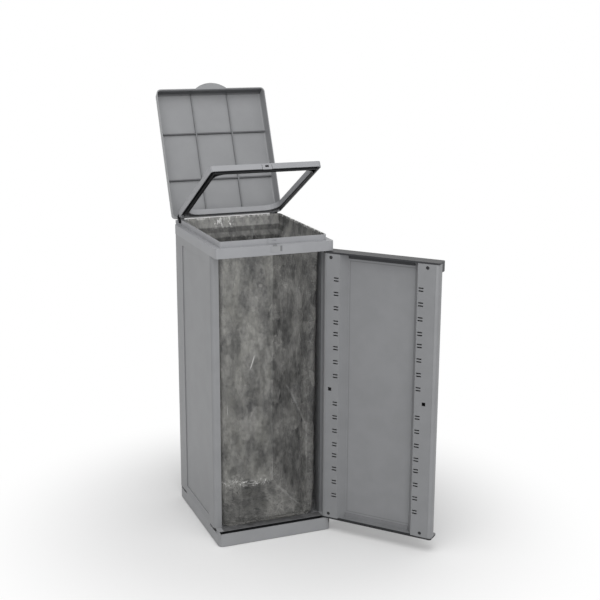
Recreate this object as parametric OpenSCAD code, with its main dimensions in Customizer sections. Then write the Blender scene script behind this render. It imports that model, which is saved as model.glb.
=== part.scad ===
// Slim one-door refuse sack cabinet with a hinged lid and a sack clamping ring.
// Origin: centre of the base's underside, +X right, +Y to the back, +Z up.

/* [Body] */
// Width of the body
body_w = 338; // [326:1:350]
// Depth of the body
body_d = 390; // [380:1:410]
// Height of the base tray
base_h = 38; // [34:1:44]
// Height of the side and back panels
panel_h = 787; // [700:1:850]
// Thickness of the side and back panels
panel_t = 22; // [20:1:24]
// Thickness of a panel's outer skin
skin_t = 2.8; // [2:0.1:3.5]
// Rounding of the panels' outer vertical edges
edge_r = 10; // [6:0.5:12]
// Depth of the shallow field in a panel's outer face
field_deep = 2; // [1:0.1:3]
// Width of the border in front of that field
field_border = 54; // [44:1:64]
// Width of the ribs inside the panels
rib_t = 2.2; // [1.5:0.1:3]
// Side of the square latch hole in a panel's inner face
latch_hole = 10.5; // [6:0.5:12]

/* [Base] */
// Rounding of the base's corners
base_r = 14; // [10:1:18]
// Wall and deck thickness of the base
base_wall = 3; // [2:0.1:4]
// Drop of the floor inside the cabinet
floor_drop = 6; // [4:0.5:10]
// Depth of the trough behind the front edge
trough_deep = 18; // [10:1:24]
// Width of that trough from front to back
trough_w = 16; // [10:1:18]
// Height of the clip windows in the sides
clip_h = 7; // [5:0.5:8]
// Length of a clip window
clip_len = 70; // [50:1:80]
// Depth of a clip window
clip_deep = 4; // [3:0.5:5]

/* [Top frame] */
// Height of the fascia round the top
fascia_h = 27.5; // [24:0.5:32]
// Wall thickness of the fascia and its ledge
fascia_t = 2.5; // [2:0.1:3]
// Rounding of the fascia's corners
fascia_r = 6; // [5:0.5:10]
// Distance from the fascia's face in to the collar
collar_in = 14.3; // [13:0.1:15]
// Height of the collar above the ledge
collar_h = 15; // [12:0.5:16]
// Thickness of the collar
collar_t = 4.5; // [3.5:0.1:5]
// Rounding of the collar's corners
collar_r = 9; // [8:0.5:12]
// Width of the catch plate on the collar's front
catch_w = 34; // [24:1:44]
// Thickness of the catch plate
catch_t = 2; // [1.5:0.1:2.5]

/* [Lid and its hinge] */
// Height of the lid
lid_h = 34; // [33.5:0.1:44]
// Overhang of the lid at its sides
lid_side = 1.5; // [0:0.1:3]
// Overhang of the lid at its front
lid_front = 4.6; // [0:0.1:6]
// Rounding of the lid's corners in plan
lid_plan_r = 13; // [11:0.5:16]
// Wall of the lid
lid_t = 2.5; // [2:0.1:3]
// Draft of the lid's skirt, measured at its top
lid_draft = 3.2; // [2:0.1:4]
// Rounding of the lid's top edge
lid_r = 7; // [5:0.5:8]
// Height of the ribs under the lid's plate
lid_rib_h = 6; // [3:0.1:6.5]
// Width of those ribs
lid_rib_w = 3.5; // [2:0.1:5]
// Width of the finger tab at the lid's front edge
tab_w = 98; // [70:1:120]
// Reach of the finger tab
tab_out = 17; // [12:0.5:20]
// Diameter of the lid's hinge pins
lid_pin_d = 6; // [5:0.5:6.5]
// Radius of the hinge knuckles
knuckle_r = 6; // [5.5:0.1:7]
// Hinge axis behind the body's rear face
hinge_out = 9.5; // [9:0.5:12]
// Height of the hinge axis above the ledge
hinge_up = 4.5; // [3:0.5:6]
// Lid angle in the open position
lid_angle = 113.2; // [90:0.1:115]

/* [Ring] */
// Height of the ring's channel
ring_h = 15.5; // [14:0.1:16]
// Wall of the ring
ring_t = 2; // [1.8:0.1:2.2]
// Width of the ring's side bars
ring_side = 18; // [17:0.5:22]
// Width of its front bar
ring_front = 18; // [17:0.5:20]
// Width of its rear bar
ring_rear = 21; // [19:0.5:24]
// Rounding of the ring's window at its rear
rear_r = 40; // [24:1:44]
// Rounding of that window at its front
front_r = 30; // [15:1:36]
// Drop of the black lips below the ring
lip_drop = 4.5; // [3:0.5:7]
// Ring angle in the raised position
ring_angle = 28.9; // [20:0.1:35]
// Width of the snap tongue at the front
tongue_w = 27; // [20:1:36]

/* [Door] */
// Thickness of the door at its caps
door_t = 44; // [42:0.5:44]
// Thickness of a door cap
cap_t = 5; // [4:0.5:6]
// Rounding of a cap's corners
cap_r = 6; // [5.5:0.5:8]
// Wall of the door mouldings
door_wall = 2.6; // [2:0.1:3]
// Thickness of the door's bevelled edge
door_edge = 22; // [18:1:26]
// Run of the bevel across the door's face
bevel_run = 20; // [12:1:24]
// Width of the hinge stile, edge and all
stile_w = 50; // [46:1:54]
// Run of the sloping wall beside the recess
slope_run = 16; // [8:1:18]
// Depth of the recess between the stiles
recess_deep = 24; // [15:1:27]
// Pitch of the slot pairs up a stile
slot_pitch = 40.5; // [30:0.5:50]
// Length of a slot
slot_len = 14; // [8:0.5:16]
// Height of a slot
slot_h = 3.4; // [2:0.1:4]
// Diameter of the holes at the stiles' ends
screw_hole = 10; // [8:0.5:11]
// Height of the end block under the top cap
block_h = 28; // [20:1:34]
// Diameter of the door's hinge pins
door_pin_d = 5; // [4:0.5:5.5]
// Door angle in the open position
door_angle = 131; // [90:1:150]

/* [Sack] */
// Thickness of the sack's film
film_t = 0.7; // [0.5:0.1:0.8]
// Length of the hem folded down outside the collar
hem = 9; // [6:0.5:12]

/* [Hidden] */

// Overrun of the cuts, seated gap and running gap of a pin
over = 1;
seat = 0.3;
run_gap = 0.5;
pin_gap = 0.05;
corner_n = 6;
$fn = 48;

hx = body_w / 2;
hy = body_d / 2;
z_panel = base_h + panel_h;
z_ledge = z_panel + fascia_h;
z_collar = z_ledge + collar_h;
in_x = hx - panel_t;
jamb_y = -hy + door_t + 2 * run_gap;
cx = hx - collar_in;
cy = hy - collar_in;

axis_y = hy + hinge_out;
axis_z = z_ledge + hinge_up;

function arc_pts(c, r, a0, a1) =
    [for (i = [0:corner_n]) let (a = a0 + (a1 - a0) * i / corner_n) c + r * [cos(a), sin(a)]];
function rr(x0, y0, x1, y1, r) = concat(
    arc_pts([x1 - r, y1 - r], r, 0, 90), arc_pts([x0 + r, y1 - r], r, 90, 180),
    arc_pts([x0 + r, y0 + r], r, 180, 270), arc_pts([x1 - r, y0 + r], r, 270, 360));
function at_z(pts, z) = [for (p = pts) [p[0], p[1], z]];

// Straight prism with rounded corners between two heights
module slab(x0, y0, x1, y1, r, z0, z1)
    translate([0, 0, z0]) linear_extrude(z1 - z0) polygon(rr(x0, y0, x1, y1, r));

module block(x0, y0, z0, x1, y1, z1)
    translate([x0, y0, z0]) cube([x1 - x0, y1 - y0, z1 - z0]);

// Solid through a list of sections that all have the same number of points
module loft(secs) {
    n = len(secs[0]);
    m = len(secs);
    polyhedron(
        points = [for (s = secs) for (p = s) p],
        faces = concat(
            [[for (i = [0:n - 1]) i]],
            [[for (i = [n - 1:-1:0]) (m - 1) * n + i]],
            [for (k = [0:m - 2]) for (i = [0:n - 1]) let (j = (i + 1) % n)
                [k * n + i, (k + 1) * n + i, (k + 1) * n + j]],
            [for (k = [0:m - 2]) for (i = [0:n - 1]) let (j = (i + 1) % n)
                [k * n + i, (k + 1) * n + j, k * n + j]]),
        convexity = 6);
}

// Bar along X from a profile in the YZ plane
module along_x(x0, x1) translate([x0, 0, 0]) rotate([90, 0, 90]) linear_extrude(x1 - x0) children();

module both_sides() { children(); mirror([1, 0, 0]) children(); }

// Door hinge axis
door_gap = 1.2;
door_x = hx - run_gap - door_pin_d;
pin_ahead = 2;
door_y = -hy + door_t / 2 - pin_ahead;
z_door0 = base_h + door_gap;
z_door1 = z_panel - door_gap - run_gap / 2;
boss_r = door_pin_d / 2 + door_wall;
pin_deep = 3 * door_pin_d;

// Base tray
floor_z = base_h - floor_drop;
foot_in = 1.5;
tr_x0 = -hx + 2 * base_wall;
tr_x1 = door_x - pin_deep;
tr_y0 = -hy + base_wall;
tr_y1 = tr_y0 + trough_w;
rear_clip_share = 0.75;
clip_y = [[-hy + 19 / 73 * clip_len, clip_len], [hy - 16 / 73 * clip_len - rear_clip_share * clip_len,
    rear_clip_share * clip_len]];
tab_x = (in_x + hx) / 2;
tab_t = panel_t / 3;
tab_len = 30;
tab_h = 10;
tab_shares = [0.14, 0.8];
function tab_y(s) = jamb_y + s * (hy - jamb_y);

module tabs(gap, z0, z1)
    for (s = tab_shares)
        block(tab_x - tab_t / 2 - gap, tab_y(s) - tab_len / 2 - gap, z0,
            tab_x + tab_t / 2 + gap, tab_y(s) + tab_len / 2 + gap, z1);
module back_tabs(gap, z0, z1)
    for (s = [-1, 1])
        block(s * in_x / 2 - tab_len / 2 - gap, hy - panel_t / 2 - tab_t / 2 - gap, z0,
            s * in_x / 2 + tab_len / 2 + gap, hy - panel_t / 2 + tab_t / 2 + gap, z1);

base_cols = 5;
base_rows = 6;
module base_tray() color("#8f9193") difference() {
    union() {
        difference() {
            union() {
                slab(-hx, -hy, hx, hy, base_r, foot_in, base_h);
                slab(-hx + foot_in, -hy + foot_in, hx - foot_in, hy - foot_in,
                    base_r - foot_in, 0, foot_in + over);
            }
            slab(-hx + base_wall, -hy + base_wall, hx - base_wall, hy - base_wall,
                base_r - base_wall, -over, floor_z - base_wall);
            difference() {
                slab(-hx + base_wall, -hy + base_wall, hx - base_wall, hy - base_wall,
                    base_r - base_wall, floor_z - base_wall - over, base_h - base_wall);
                block(-in_x - base_wall, jamb_y - base_wall, -over,
                    in_x + base_wall, hy - panel_t + base_wall, base_h);
            }
        }
        for (i = [1:base_cols]) let (x = -hx + body_w * i / (base_cols + 1))
            block(x - rib_t / 2, -hy + foot_in + over, foot_in, x + rib_t / 2,
                hy - foot_in - over, floor_z - base_wall / 2);
        for (i = [1:base_rows]) let (y = -hy + body_d * i / (base_rows + 1))
            block(-hx + foot_in + over, y - rib_t / 2, foot_in, hx - foot_in - over,
                y + rib_t / 2, floor_z - base_wall / 2);
        block(tr_x0 - base_wall / 2, tr_y0 - base_wall / 2, base_h - trough_deep - base_wall,
            tr_x1 + base_wall, tr_y1 + base_wall, base_h - base_wall / 2);
        translate([door_x, door_y, base_h - pin_deep - base_wall])
            cylinder(r = boss_r, h = pin_deep + base_wall / 2);
        both_sides() for (c = clip_y)
            block(hx - clip_deep - base_wall, c[0] - base_wall, base_h - clip_h - base_wall,
                hx - base_wall / 2, c[0] + c[1] + base_wall, base_h - base_wall / 2);
    }
    block(-in_x, jamb_y, floor_z, in_x, hy - panel_t, base_h + over);
    block(tr_x0, tr_y0, base_h - trough_deep, tr_x1, tr_y1, base_h + over);
    both_sides() {
        for (c = clip_y)
            block(hx - clip_deep, c[0], base_h - clip_h, hx + over, c[0] + c[1], base_h + over);
        tabs(seat, base_h - tab_h - over, base_h + over);
    }
    back_tabs(seat, base_h - tab_h - over, base_h + over);
    translate([door_x, door_y, base_h - pin_deep])
        cylinder(d = door_pin_d + 2 * pin_gap, h = pin_deep + over);
}

// Clips in the windows of the base's sides
clip_piece = 22;
module panel_clips() color("#2b2c2e") both_sides() for (c = clip_y)
    let (y = c[0] + c[1] / 2) {
        block(hx - clip_deep, y - clip_piece / 2, base_h - clip_h, hx - clip_deep / 2,
            y + clip_piece / 2, base_h);
        block(hx - clip_deep / 2 - seat, y - clip_piece / 4, base_h - clip_h,
            hx - clip_deep / 4, y + clip_piece / 4, base_h - clip_h / 2);
    }

// Side and back panels
panel_rail = 14;
stile_d = 20;
rear_border_share = 1.37;
rib_back = 3;
panel_rows = 6;
panel_cols = 3;
back_cols = 3;
latch_z = base_h + panel_h / 2;

module side_panel() difference() {
    union() {
        difference() {
            translate([0, 0, base_h]) linear_extrude(panel_h) polygon(concat(
                arc_pts([hx - edge_r, hy - edge_r], edge_r, 0, 90),
                [[in_x, hy], [in_x, jamb_y]],
                arc_pts([hx - edge_r, jamb_y + edge_r], edge_r, 270, 360)));
            block(in_x - over, jamb_y + stile_d, base_h + panel_rail,
                hx - field_deep - skin_t, hy - panel_t - over, z_panel - panel_rail);
        }
        for (i = [1:panel_cols])
            let (y = jamb_y + stile_d + (hy - panel_t - jamb_y - stile_d) * i / (panel_cols + 1))
                block(in_x + rib_back, y - rib_t / 2, base_h + panel_rail - over,
                    hx - field_deep - skin_t / 2, y + rib_t / 2, z_panel - panel_rail + over);
        for (i = [1:panel_rows]) let (z = base_h + panel_h * i / (panel_rows + 1))
            block(in_x + rib_back, jamb_y + stile_d - over, z - rib_t / 2,
                hx - field_deep - skin_t / 2, hy - panel_t, z + rib_t / 2);
        tabs(0, base_h - tab_h, base_h + over);
        tabs(0, z_panel - over, z_panel + tab_h);
    }
    block(hx - field_deep, jamb_y + field_border, base_h + panel_t, hx + over,
        hy - rear_border_share * field_border, z_panel - panel_t);
    block(in_x - over, jamb_y + edge_r, latch_z - latch_hole / 2,
        in_x + latch_hole, jamb_y + edge_r + latch_hole, latch_z + latch_hole / 2);
}

module side_panel_right() color("#8a8c8e") side_panel();
module side_panel_left() color("#8a8c8e") mirror([1, 0, 0]) side_panel();

module back_panel() color("#8a8c8e") let (w = in_x - seat) difference() {
    union() {
        difference() {
            block(-w, hy - panel_t, base_h, w, hy, z_panel);
            block(-w + stile_d, hy - panel_t - over, base_h + panel_rail,
                w - stile_d, hy - field_deep - skin_t, z_panel - panel_rail);
        }
        for (i = [1:back_cols]) let (x = -w + 2 * w * i / (back_cols + 1))
            block(x - rib_t / 2, hy - panel_t + rib_back, base_h + panel_rail - over,
                x + rib_t / 2, hy - field_deep - skin_t / 2, z_panel - panel_rail + over);
        for (i = [1:panel_rows]) let (z = base_h + panel_h * i / (panel_rows + 1))
            block(-w + stile_d - over, hy - panel_t + rib_back, z - rib_t / 2,
                w - stile_d + over, hy - field_deep - skin_t / 2, z + rib_t / 2);
        back_tabs(0, base_h - tab_h, base_h + over);
        back_tabs(0, z_panel - over, z_panel + tab_h);
    }
    block(-w + stile_d + panel_t, hy - field_deep, base_h + panel_t, w - stile_d - panel_t,
        hy + over, z_panel - panel_t);
}

// Hinge lugs, knuckles and arms along X, and the shape that carries them
lug_t = 6;
arm_w = 7;
knuckle_w = 12;
hinge_x = in_x + lug_t + arm_w + 2 * over;
arm_x0 = hinge_x - lug_t - run_gap - arm_w;
knuckle_x0 = arm_x0 - run_gap - knuckle_w;
lug_x0 = knuckle_x0 - run_gap - lug_t;

module lid_bore() translate([-hx, axis_y, axis_z]) rotate([0, 90, 0])
    cylinder(d = lid_pin_d + 2 * pin_gap, h = body_w);

// Top frame
fun_x = in_x;
fun_y0 = jamb_y + rib_back;
fun_y1 = hy - panel_t;
fun_z = z_ledge - fascia_t;
function quad(x0, y0, x1, y1) = [[x1, y1], [x0, y1], [x0, y0], [x1, y0]];
module funnel(g, e) loft([
    at_z(quad(-fun_x - g, fun_y0 - g, fun_x + g, fun_y1 + g), z_panel - e),
    at_z(quad(-cx + collar_t - g, -cy + collar_t - g, cx - collar_t + g, cy - collar_t + g),
        fun_z + e)]);

module top_frame() color("#949698") difference() {
    union() {
        difference() {
            slab(-hx, -hy, hx, hy, fascia_r, z_panel, z_ledge);
            slab(-hx + fascia_t, -hy + fascia_t, hx - fascia_t, hy - fascia_t,
                fascia_r - fascia_t, z_panel - over, z_ledge - fascia_t);
        }
        slab(-cx, -cy, cx, cy, collar_r, fun_z, z_collar);
        funnel(fascia_t, 0);
        translate([door_x, door_y, z_panel]) cylinder(r = boss_r, h = fascia_h - fascia_t / 2);
        both_sides() for (x = [lug_x0, hinge_x - lug_t]) {
            along_x(x, x + lug_t) polygon([[hy - fascia_t / 2, z_panel + fascia_h / 5],
                [axis_y, axis_z - knuckle_r + run_gap], [axis_y, axis_z],
                [axis_y - knuckle_r + run_gap, axis_z], [hy, z_ledge], [hy - fascia_t / 2, z_ledge]]);
            along_x(x, x + lug_t) translate([axis_y, axis_z]) circle(r = knuckle_r);
        }
    }
    slab(-cx + collar_t, -cy + collar_t, cx - collar_t, cy - collar_t,
        collar_r - collar_t, fun_z - over / 2, z_collar + over);
    funnel(0, over / 4);
    block(-catch_w / 2 - seat, -cy - over, z_ledge + fascia_t / 2, catch_w / 2 + seat,
        -cy + catch_t / 2, z_collar + over);
    translate([door_x, door_y, z_panel - over])
        cylinder(d = door_pin_d + 2 * pin_gap, h = pin_deep + over);
    lid_bore();
}

slot_share = 0.36;
module catch_plate() color("#a4a6a8") difference() {
    block(-catch_w / 2, -cy - catch_t / 2, z_ledge + fascia_t / 2, catch_w / 2,
        -cy + catch_t / 2, z_collar - over / 2);
    block(-catch_w * slot_share / 2, -cy - catch_t, z_ledge + collar_h / 2,
        catch_w * slot_share / 2, -cy + catch_t, z_ledge + collar_h * 0.78);
}

// Lid, in its closed place and then turned about its hinge
lid_x = hx + lid_side;
lid_y = hy - seat;
lid_yf = -hy - lid_front;
lid_z0 = z_ledge + seat;
lid_z1 = lid_z0 + lid_h;
lid_turns = [0, 30, 60, 90];
function lid_sec(g, z) = at_z(rr(-lid_x + g, lid_yf + g, lid_x - g, lid_y - g,
    lid_plan_r - g / 2), z);
function lid_secs(g, e) = concat([lid_sec(g, lid_z0 - e)],
    [for (a = lid_turns) lid_sec(lid_draft + g + (lid_r - g) * (1 - cos(a)),
        lid_z1 - lid_r + (lid_r - g) * sin(a))]);

notch_h = ring_h + knuckle_r + over;
tab_r = (pow(tab_w / 2, 2) + pow(tab_out, 2)) / (2 * tab_out);
lid_across_shares = [0.335, 0.695];
lid_along_share = 1 / 3;

module at_hinge(a)
    translate([0, axis_y, axis_z]) rotate([-a, 0, 0]) translate([0, -axis_y, -axis_z]) children();

module lid_closed() difference() {
    union() {
        difference() {
            loft(lid_secs(0, 0));
            loft(lid_secs(lid_t, over));
        }
        let (g = lid_draft + lid_t - run_gap, z0 = lid_z1 - lid_t - lid_rib_h,
            z1 = lid_z1 - lid_t + seat) {
            for (s = [-1, 1])
                block(s * lid_x * lid_along_share - lid_rib_w / 2, lid_yf + g, z0,
                    s * lid_x * lid_along_share + lid_rib_w / 2, lid_y - g, z1);
            for (s = lid_across_shares) let (y = lid_yf + s * (lid_y - lid_yf))
                block(-lid_x + g, y - lid_rib_w / 2, z0, lid_x - g, y + lid_rib_w / 2, z1);
        }
        intersection() {
            translate([0, lid_yf - tab_out + tab_r, lid_z0]) cylinder(r = tab_r, h = lid_t);
            block(-tab_w, lid_yf - 2 * tab_out, lid_z0 - over, tab_w, lid_yf + lid_t / 2, lid_z1);
        }
        both_sides() {
            along_x(knuckle_x0, knuckle_x0 + knuckle_w) polygon([
                [lid_y - 0.8 * lid_t, lid_z0 + base_wall], [axis_y, axis_z - knuckle_r + run_gap],
                [axis_y, axis_z + knuckle_r - run_gap], [lid_y - 0.8 * lid_t, lid_z0 + lid_h / 2]]);
            along_x(knuckle_x0, knuckle_x0 + knuckle_w) translate([axis_y, axis_z])
                circle(r = knuckle_r);
        }
    }
    both_sides() block(arm_x0 - over, lid_y - knuckle_w, lid_z0 - over,
        arm_x0 + arm_w + over, lid_y + over, lid_z0 + notch_h);
    lid_bore();
}
module lid() color("#8e9092") at_hinge(lid_angle) lid_closed();

module lid_pin() translate([lug_x0 - run_gap, axis_y, axis_z]) rotate([0, 90, 0])
    cylinder(d = lid_pin_d, h = hinge_x - lug_x0 + 2 * run_gap);
module lid_hinge_pin_right() color("#55585b") lid_pin();
module lid_hinge_pin_left() color("#55585b") mirror([1, 0, 0]) lid_pin();

// Clamping ring, in its closed place and then turned about the same hinge
ring_clear = 1.3;
ring_x = cx + ring_clear + ring_t;
ring_y = cy + ring_clear + ring_t;
ring_over = 6.2;
ring_z0 = z_collar - ring_over;
ring_z1 = ring_z0 + ring_h;
plate_z = z_collar + seat + film_t + 2 * seat + 2 * pin_gap * 2;
ring_r = edge_r;
function rr2(x0, y0, x1, y1, rf, rb) = concat(
    arc_pts([x1 - rb, y1 - rb], rb, 0, 90), arc_pts([x0 + rb, y1 - rb], rb, 90, 180),
    arc_pts([x0 + rf, y0 + rf], rf, 180, 270), arc_pts([x1 - rf, y0 + rf], rf, 270, 360));
module ring_hole(g, z0, z1) translate([0, 0, z0]) linear_extrude(z1 - z0)
    polygon(rr2(-ring_x + ring_side - g, -ring_y + ring_front - g, ring_x - ring_side + g,
        ring_y - ring_rear + g, front_r, rear_r));
module ring_solid(g, z0, z1)
    slab(-ring_x + g, -ring_y + g, ring_x - g, ring_y - g, ring_r - g / 2, z0, z1);

hook_h = 1;
window_share = 0.38;
window_shares = [0.34, 0.72];
slit = 1.2;
module ring_cover_closed() difference() {
    union() {
        difference() {
            ring_solid(0, ring_z0, ring_z1);
            difference() {
                ring_solid(ring_t, ring_z0 - over, ring_z1 - ring_t);
                ring_hole(ring_t, ring_z0 - 2 * over, ring_z1);
            }
            ring_hole(0, ring_z0 - over, ring_z1 + over);
        }
        block(-tongue_w / 2, -ring_y, ring_z0 - hook_h, tongue_w / 2, -ring_y + ring_t,
            ring_z0 + over);
    }
    for (s = [-1, 1]) block(s * (tongue_w + slit) / 2 - slit / 2, -ring_y - over,
        ring_z0 - over, s * (tongue_w + slit) / 2 + slit / 2, -ring_y + ring_t + over,
        ring_z1 - 1.5 * ring_t);
    block(-tongue_w * window_share / 2, -ring_y - over, ring_z0 + ring_h * window_shares[0],
        tongue_w * window_share / 2, -ring_y + ring_t + over, ring_z0 + ring_h * window_shares[1]);
    both_sides() block(arm_x0 - seat, ring_y - ring_r - over, ring_z0 - over,
        arm_x0 + arm_w + seat, ring_y + over, ring_z1 - ring_t);
}
module ring_cover() color("#97999b") at_hinge(ring_angle) ring_cover_closed();

lip_gap = 1.4;
lip_x = cx - collar_t - lip_gap;
lip_y0 = -cy + collar_t + lip_gap;
lip_y1 = ring_y - ring_rear - ring_t - base_wall;
lip_z = ring_z0 - lip_drop;
lip_r = collar_r - collar_t + lip_gap;
module ring_frame_closed() difference() {
    union() {
        difference() {
            ring_solid(ring_t + seat, plate_z, ring_z1 - ring_t);
            ring_hole(ring_t + seat, plate_z - over, ring_z1);
        }
        difference() {
            slab(-lip_x, lip_y0, lip_x, lip_y1 + lip_r, lip_r, lip_z, plate_z + over);
            slab(-lip_x + ring_t, lip_y0 + ring_t, lip_x - ring_t, lip_y1 + 2 * lip_r,
                lip_r - ring_t, lip_z - over, plate_z + 2 * over);
            block(-ring_x, lip_y1, lip_z - over, ring_x, ring_y, plate_z + 2 * over);
        }
        difference() {
            ring_hole(2 * ring_t + seat, lip_z, plate_z + over);
            ring_hole(ring_t + seat, lip_z - over, plate_z + 2 * over);
        }
        both_sides() {
            along_x(arm_x0, arm_x0 + arm_w) polygon([
                [ring_y - ring_rear / 2, plate_z], [axis_y - 2 * knuckle_r, plate_z],
                [axis_y - knuckle_r + run_gap, axis_z + knuckle_w],
                [axis_y - knuckle_r + run_gap, axis_z], [axis_y + knuckle_r - run_gap, axis_z],
                [axis_y, ring_z1 - ring_t], [ring_y - ring_rear / 2, ring_z1 - ring_t]]);
            along_x(arm_x0, arm_x0 + arm_w) translate([axis_y, axis_z]) circle(r = knuckle_r);
        }
    }
    lid_bore();
}
module ring_frame() color("#26272a") at_hinge(ring_angle) ring_frame_closed();

// Door, in its closed place and then turned about its hinge
dx0 = -hx + run_gap;
dx1 = hx - run_gap;
dy0 = -hy + run_gap;
dy1 = dy0 + door_t;
dz0 = z_door0 + cap_t;
dz1 = z_door1 - cap_t;
dz_mid = (z_door0 + z_door1) / 2;
rec_x0 = dx0 + stile_w + edge_r;
rec_x1 = dx1 - stile_w;
rec_y = dy1 - recess_deep;
bevel_a = atan((door_t - door_edge) / bevel_run);
hole_x = [rec_x0 - 0.54 * stile_w, rec_x1 + 0.54 * stile_w];
hole_out = 15.4;
hole_z = [z_door0 + hole_out, z_door1 - hole_out];

module at_door() translate([door_x, door_y, 0]) rotate([0, 0, door_angle])
    translate([-door_x, -door_y, 0]) children();

function skin_pts(g) = concat(
    [[dx0 + g, dy1 - door_edge + g * tan((90 - bevel_a) / 2)],
        [dx0 + bevel_run + g * tan(bevel_a / 2), dy0 + g]],
    arc_pts([dx1 - edge_r, dy0 + edge_r], edge_r - g, 270, 360),
    arc_pts([dx1 - edge_r, dy1 - edge_r], edge_r - g, 0, 90),
    arc_pts([dx0 + edge_r, dy1 - edge_r], edge_r - g, 90, 180));

skin_ribs = 7;
module door_skin() color("#8a8c8e") at_door() {
    difference() {
        translate([0, 0, dz0]) linear_extrude(dz1 - dz0) polygon(skin_pts(0));
        translate([0, 0, dz0 - over]) linear_extrude(dz1 - dz0 + 2 * over)
            polygon(skin_pts(door_wall));
        block(dx0 + edge_r, dy1 - 2 * door_wall, dz0 - over, dx1 - edge_r, dy1 + over, dz1 + over);
    }
    for (i = [1:skin_ribs]) let (z = dz0 + (dz1 - dz0) * i / (skin_ribs + 1))
        block(dx0 + bevel_run, dy0 + door_wall / 2, z - rib_t / 2, dx1 - edge_r,
            rec_y - door_wall - seat, z + rib_t / 2);
}

slot_shares = [1, 2, 3, 4, 4.82, 5.82, 6.82, 7.82];
slot_apart = 8;
slot_in = 3.2;
module slots_at(x) for (s = slot_shares, k = [-1, 1], j = [-1, 1])
    let (z = dz_mid + k * s * slot_pitch + j * slot_apart / 2)
        block(x - slot_len / 2, dy1 - door_wall - over, z - slot_h / 2,
            x + slot_len / 2, dy1 + over, z + slot_h / 2);
module door_liner() color("#7e8082") at_door() difference() {
    translate([0, 0, dz0]) linear_extrude(dz1 - dz0) polygon([
        [dx0 + edge_r + seat, dy1], [dx0 + edge_r + seat, dy1 - door_wall],
        [rec_x0 - door_wall / 2, dy1 - door_wall], [rec_x0 + slope_run - door_wall / 2, rec_y - door_wall],
        [rec_x1 - slope_run + door_wall / 2, rec_y - door_wall], [rec_x1 + door_wall / 2, dy1 - door_wall],
        [dx1 - edge_r - seat, dy1 - door_wall], [dx1 - edge_r - seat, dy1], [rec_x1, dy1],
        [rec_x1 - slope_run, rec_y], [rec_x0 + slope_run, rec_y], [rec_x0, dy1]]);
    slots_at(rec_x0 - slot_in - slot_len / 2);
    slots_at(rec_x1 + slot_in + slot_len / 2);
    for (x = hole_x) {
        for (z = hole_z) translate([x, dy1 + over, z]) rotate([90, 0, 0])
            cylinder(d = screw_hole, h = door_wall + 2 * over);
        block(x - latch_hole / 2, dy1 - door_wall - over, dz_mid - latch_hole / 2,
            x + latch_hole / 2, dy1 + over, dz_mid + latch_hole / 2);
    }
}

// Door caps: a plate over the whole end, bosses for the screws and a flange behind the recess
screw_d = 4;
screw_len = 12;
cap_boss = 20;
flange_h = 13;
module cap(z0, z1, into) difference() {
    union() {
        slab(dx0, dy0, dx1, dy1, cap_r, z0, z1);
        for (x = hole_x) let (z = into > 0 ? [z1 - over, z1 + cap_boss] : [z0 - cap_boss, z0 + over])
            block(x - screw_hole, dy1 - door_wall - seat - screw_len - over, z[0],
                x + screw_hole, dy1 - door_wall - seat, z[1]);
        let (z = into > 0 ? [z1 - over, z1 + flange_h] : [z0 - flange_h, z0 + over])
            block(rec_x0 + slope_run + over, rec_y + seat, z[0], rec_x1 - slope_run - over,
                rec_y + door_wall, z[1]);
    }
    translate([door_x, door_y, z0 - over])
        cylinder(d = door_pin_d + 2 * pin_gap, h = z1 - z0 + 2 * over);
    for (x = hole_x) translate([x, dy1 + over, into > 0 ? hole_z[0] : hole_z[1]])
        rotate([90, 0, 0]) cylinder(d = screw_d + 2 * pin_gap, h = door_wall + screw_len + 2 * over);
}
module door_top_cap() color("#4a4c4f") at_door() {
    cap(dz1, z_door1, -1);
    intersection() {
        slab(dx0, dy0, dx1, dy1, cap_r, z_door1 - block_h, dz1 + over);
        translate([0, 0, z_door1 - block_h]) linear_extrude(block_h) polygon([
            [dx0 - over, dy1 - door_edge + seat - over],
            [dx0 - over, dy0 - over], [dx0 + bevel_run - seat, dy0 - over],
            [dx0 + bevel_run - 1.5 * seat, dy0], [dx0 - seat, dy1 - door_edge - 1.5 * seat]]);
    }
}
module door_bottom_cap() color("#4a4c4f") at_door() cap(z_door0, dz0, 1);

module door_pin(z0, z1) translate([door_x, door_y, z0]) cylinder(d = door_pin_d, h = z1 - z0);
module door_pin_top() color("#55585b") door_pin(dz1, z_panel + pin_deep - seat);
module door_pin_bottom() color("#55585b") door_pin(base_h - pin_deep + seat, dz0);

head_t = 2;
module door_screws() color("#8b8d90") at_door() for (x = hole_x, z = hole_z)
    translate([x, dy1 - door_wall - seat, z]) rotate([90, 0, 0]) {
        translate([0, 0, -head_t]) difference() {
            cylinder(d = screw_hole - 4 * seat, h = head_t);
            translate([0, 0, -over]) cylinder(d = screw_d, h = over + head_t / 2, $fn = 6);
        }
        translate([0, 0, -head_t / 4]) cylinder(d = screw_d, h = screw_len);
    }

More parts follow.
